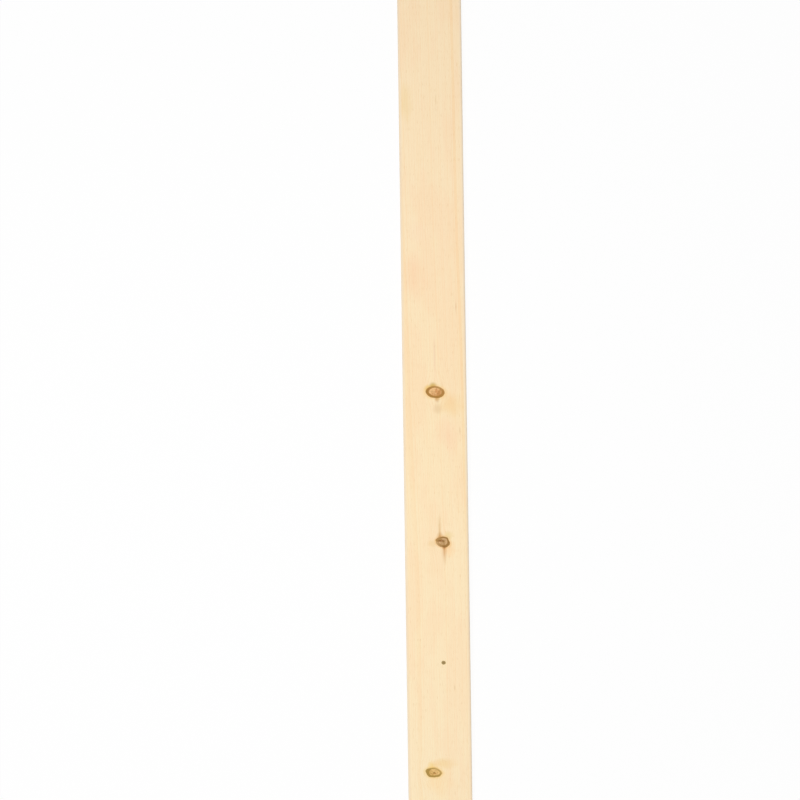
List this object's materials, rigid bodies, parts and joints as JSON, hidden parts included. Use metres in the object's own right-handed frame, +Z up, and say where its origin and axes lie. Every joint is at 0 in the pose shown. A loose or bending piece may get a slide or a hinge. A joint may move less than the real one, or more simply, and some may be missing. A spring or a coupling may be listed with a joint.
{
  "type": "pine board",
  "caption": "Planed pine board of rectangular section with eased long edges, cut square at both ends; raw stock for shelves, trim and joinery.",
  "frame": {"origin": "middle of the lower face, on the surface that the board lies on", "axes": "+X along the length and the grain, +Y across the width, +Z up through the thickness to the show face"},
  "size_m": [2.4384, 0.1396, 0.0191],
  "materials": {
    "pine": "planed, unfinished"
  },
  "bodies": {
    "root": {"board": "pine"}
  },
  "joints": []
}
